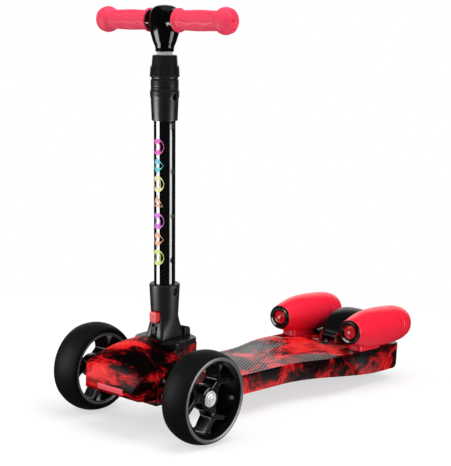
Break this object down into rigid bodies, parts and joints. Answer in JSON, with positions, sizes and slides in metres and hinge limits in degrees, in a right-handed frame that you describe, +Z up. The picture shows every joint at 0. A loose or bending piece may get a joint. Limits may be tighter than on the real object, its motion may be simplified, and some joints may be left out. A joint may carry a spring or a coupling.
{
  "type": "kick scooter",
  "caption": "Child's three-wheel kick scooter with folding stem, height-adjustable T-bar, lean-steered front wheels, flared deck, rear brake and rocket-shaped rear lamps.",
  "frame": {"origin": "on the floor, at the centre of the scooter's footprint box", "axes": "+Z up, -Y forward in the riding direction, +X to the rider's left"},
  "size_m": [0.263, 0.638, 0.5894],
  "materials": {
    "bearing_steel": "ground",
    "bolt_chrome": "polished",
    "bush_white": "acetal",
    "button_red": "moulded",
    "collar_black": "moulded satin",
    "deck_pad": "diamond tread, grey sheen",
    "deck_print": "printed black and red, gloss",
    "frame_print": "printed black and red",
    "grip_red": "soft ribbed rubber",
    "guard_black": "gloss moulded",
    "head_black": "gloss moulded",
    "hinge_black": "moulded satin",
    "hood_print": "printed black and red, gloss",
    "knuckle_black": "moulded satin",
    "lamp_white": "circuit board",
    "lens_red": "clear red moulding",
    "nose_black": "gloss moulded",
    "pin_steel": "turned",
    "rim_black": "gloss moulded, grey lip",
    "rocket_red": "gloss moulded",
    "socket_black": "moulded satin",
    "tube_black": "gloss paint",
    "tyre_black": "smooth cast polyurethane, satin"
  },
  "bodies": {
    "chassis": {"front_frame": "frame_print", "hood": "hood_print", "hood_screws": "pin_steel", "hinge_base": "hinge_black", "hinge_pin": "pin_steel", "kingpin_left": "pin_steel", "kingpin_right": "pin_steel", "deck_body": "deck_print", "deck_pad": "deck_pad", "rear_axle": "bolt_chrome", "rear_axle_nut": "bolt_chrome", "rear_sleeves": "bearing_steel", "brake_pin": "pin_steel", "rocket_upper_left": "rocket_red", "rocket_lower_left": "rocket_red", "rocket_tail_left": "rocket_red", "nose_ring_left": "nose_black", "nose_lens_left": "lens_red", "rocket_upper_right": "rocket_red", "rocket_lower_right": "rocket_red", "rocket_tail_right": "rocket_red", "nose_ring_right": "nose_black", "nose_lens_right": "lens_red", "lamp_left": "lamp_white", "lamp_right": "lamp_white"},
    "knuckle_left": {"knuckle_left": "knuckle_black", "front_axle_left": "bolt_chrome"},
    "knuckle_right": {"knuckle_right": "knuckle_black", "front_axle_right": "bolt_chrome"},
    "wheel_left": {"front_tyre_left": "tyre_black", "front_rim_left": "rim_black", "front_bearings_left": "bearing_steel", "front_spacer_left": "bearing_steel"},
    "wheel_right": {"front_tyre_right": "tyre_black", "front_rim_right": "rim_black", "front_bearings_right": "bearing_steel", "front_spacer_right": "bearing_steel"},
    "tie_rod": {"tie_rod": "pin_steel"},
    "rear_wheel": {"rear_tyre": "tyre_black", "rear_core": "rim_black", "rear_bearings": "bearing_steel", "rear_spacer": "bearing_steel"},
    "brake": {"brake_guard": "guard_black"},
    "stem": {"stem_socket": "socket_black", "stem_tube": "tube_black", "collar_sleeve": "collar_black", "collet": "bush_white"},
    "fold_button": {"fold_button": "button_red"},
    "stem_snap": {"stem_snap_button": "bolt_chrome"},
    "collar_nut": {"collar_nut": "collar_black"},
    "handlebar": {"inner_tube": "bolt_chrome", "guide_bush": "bush_white", "t_head": "head_black", "cross_bar": "pin_steel", "grip_left": "grip_red", "grip_right": "grip_red"},
    "height_button": {"height_button": "bolt_chrome"}
  },
  "joints": [
    {"name": "steer_left", "type": "hinge", "parent": "chassis", "child": "knuckle_left", "pos_m": [0.066, -0.247, 0.065], "axis": [0, 0.2079, 0.9781], "range_deg": [-14, 14], "stiffness_Nm_per_rad": 6},
    {"name": "steer_right", "type": "hinge", "parent": "chassis", "child": "knuckle_right", "pos_m": [-0.066, -0.247, 0.065], "axis": [0, 0.2079, 0.9781], "range_deg": [-14, 14]},
    {"name": "tie_rod_slide", "type": "slide", "parent": "chassis", "child": "tie_rod", "axis": [1, 0, 0], "range_m": [-0.008, 0.008]},
    {"name": "wheel_left_spin", "type": "hinge", "parent": "knuckle_left", "child": "wheel_left", "pos_m": [0.1075, -0.247, 0.065], "axis": [1, 0, 0], "continuous": true},
    {"name": "wheel_right_spin", "type": "hinge", "parent": "knuckle_right", "child": "wheel_right", "pos_m": [-0.1075, -0.247, 0.065], "axis": [1, 0, 0], "continuous": true},
    {"name": "rear_wheel_spin", "type": "hinge", "parent": "chassis", "child": "rear_wheel", "pos_m": [0, 0.263, 0.05], "axis": [1, 0, 0], "continuous": true},
    {"name": "brake_press", "type": "hinge", "parent": "chassis", "child": "brake", "pos_m": [0, 0.201, 0.072], "axis": [-1, 0, 0], "range_deg": [0, 5], "stiffness_Nm_per_rad": 2, "springref_deg": -5.73},
    {"name": "stem_fold", "type": "hinge", "parent": "chassis", "child": "stem", "pos_m": [0, -0.18753, 0.13341], "axis": [-1, 0, 0], "range_deg": [0, 83]},
    {"name": "fold_button_press", "type": "slide", "parent": "stem", "child": "fold_button", "axis": [0, 0.9974, 0.0715], "range_m": [0, 0.004], "stiffness_N_per_m": 800, "springref_m": -0.002},
    {"name": "stem_snap_press", "type": "slide", "parent": "stem", "child": "stem_snap", "axis": [-1, 0, 0], "range_m": [0, 0.005], "stiffness_N_per_m": 600, "springref_m": -0.002},
    {"name": "collar_twist", "type": "hinge", "parent": "stem", "child": "collar_nut", "pos_m": [0, -0.214, 0.125], "axis": [0, -0.0715, 0.9974], "range_deg": [0, 120]},
    {"name": "handlebar_height", "type": "slide", "parent": "stem", "child": "handlebar", "axis": [0, -0.0715, 0.9974], "range_m": [0, 0.1881]},
    {"name": "height_button_press", "type": "slide", "parent": "handlebar", "child": "height_button", "axis": [1, 0, 0], "range_m": [0, 0.0036], "stiffness_N_per_m": 300, "springref_m": 0.005}
  ],
  "couplings": [
    {"joint": "steer_right", "follows": "steer_left", "ratio": 1},
    {"joint": "tie_rod_slide", "follows": "steer_left", "m_per_rad": -0.032}
  ]
}
